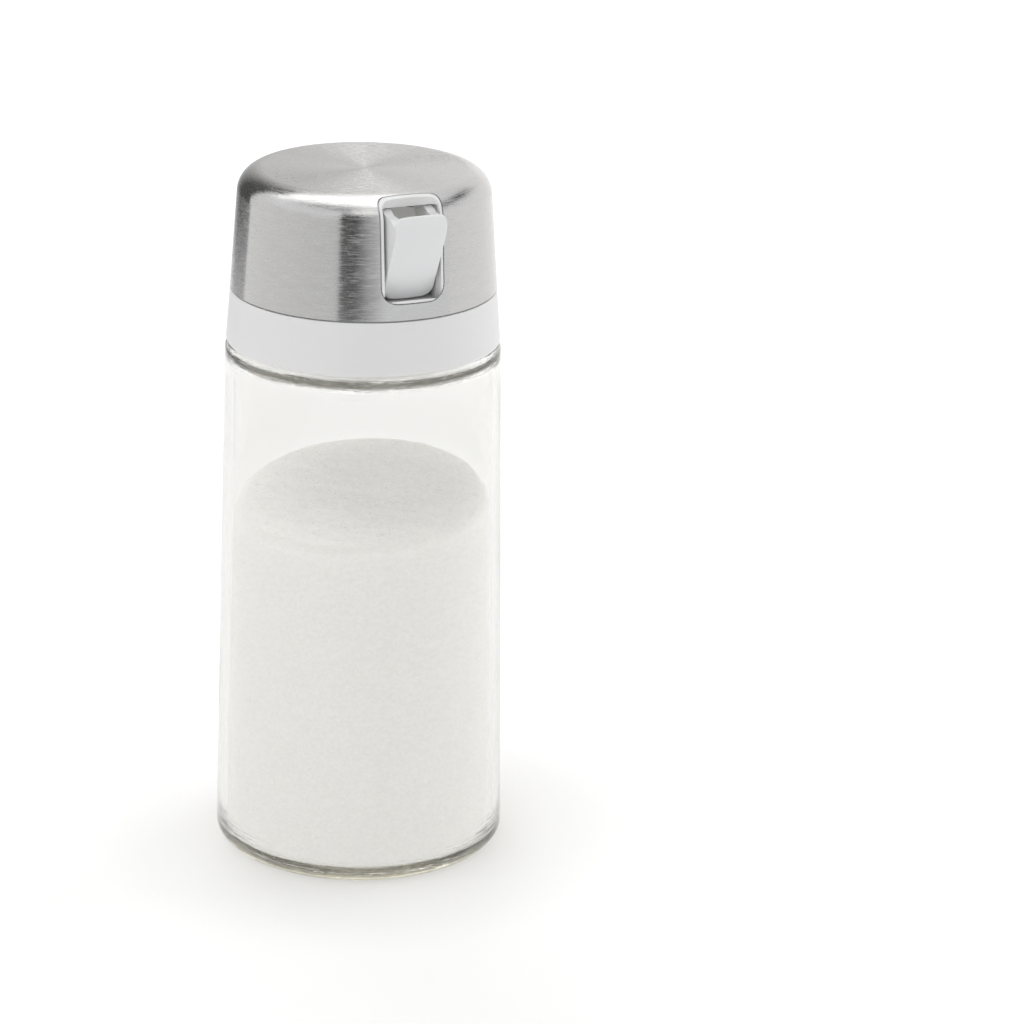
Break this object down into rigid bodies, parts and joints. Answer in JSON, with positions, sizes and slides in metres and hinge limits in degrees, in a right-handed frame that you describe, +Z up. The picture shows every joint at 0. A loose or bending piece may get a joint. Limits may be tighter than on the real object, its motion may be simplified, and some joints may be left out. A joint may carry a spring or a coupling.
{
  "type": "sugar dispenser with flap",
  "caption": "Tapered glass jar of sugar with a white threaded collar and a domed brushed steel cap, which has a window with a white pour flap that rocks on a pin.",
  "frame": {"origin": "centre of the jar's foot, on the table", "axes": "+Z up the jar's axis, -Y towards the pour flap, +X to the right seen from the flap's side"},
  "size_m": [0.0744, 0.075, 0.178],
  "materials": {
    "clear_glass": "clear smooth soda-lime glass",
    "sugar": "white granulated sugar, loose and dry",
    "gasket_rubber": "soft translucent white silicone",
    "white_plastic": "white moulded plastic, satin",
    "liner_plastic": "white moulded plastic, plain inside finish",
    "flap_plastic": "white moulded plastic, glossy",
    "brushed_steel": "stainless steel, brushed round the side and turned on top",
    "pin_steel": "drawn stainless steel wire"
  },
  "bodies": {
    "jar": {"glass_jar": "clear_glass", "sugar_fill": "sugar"},
    "seal": {"rim_gasket": "gasket_rubber"},
    "lid": {"lid_collar": "white_plastic", "steel_cap": "brushed_steel", "window_frame": "white_plastic", "inner_cap": "liner_plastic", "flap_housing": "liner_plastic", "flap_pin": "pin_steel"},
    "flap": {"flap": "flap_plastic"}
  },
  "joints": [
    {"name": "lid_lift", "type": "slide", "parent": "jar", "child": "seal", "axis": [0, 0, 1], "range_m": [0, 0.015]},
    {"name": "lid_turn", "type": "hinge", "parent": "seal", "child": "lid", "pos_m": [0, 0, 0.1472], "axis": [0, 0, 1], "range_deg": [0, 450]},
    {"name": "flap_hinge", "type": "hinge", "parent": "lid", "child": "flap", "pos_m": [0, -0.028, 0.1623], "axis": [1, 0, 0], "range_deg": [-31, 0]}
  ],
  "couplings": [
    {"joint": "lid_lift", "follows": "lid_turn", "m_per_rad": 0.0019099}
  ]
}
